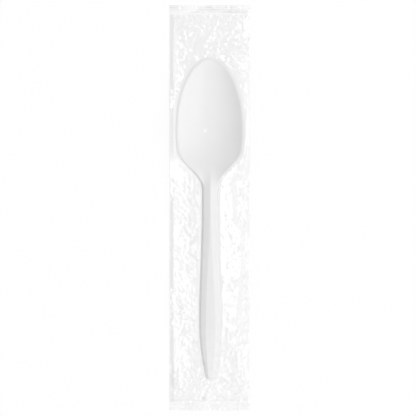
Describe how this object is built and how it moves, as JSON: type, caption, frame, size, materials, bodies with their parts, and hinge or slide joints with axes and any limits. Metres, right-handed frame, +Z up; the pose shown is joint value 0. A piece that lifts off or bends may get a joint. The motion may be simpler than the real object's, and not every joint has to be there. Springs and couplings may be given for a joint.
{
  "type": "plastic cutlery pack",
  "caption": "White moulded plastic teaspoon sealed in a crinkled clear film sleeve with crimped end seals, lying flat, ready to open and use.",
  "frame": {"origin": "middle of the film's outline, on the surface that the pack lies on", "axes": "+Y along the pack towards the bowl's tip, +X across it towards the folded edge, +Z up out of the bowl"},
  "size_m": [0.038, 0.19, 0.0128],
  "materials": {
    "spoon_plastic": "white injection-moulded polypropylene with a satin shine",
    "clear_film": "thin clear glossy film, crinkled, crimped at both ends"
  },
  "bodies": {
    "root": {"spoon": "spoon_plastic", "film_wrapper": "clear_film"}
  },
  "joints": []
}
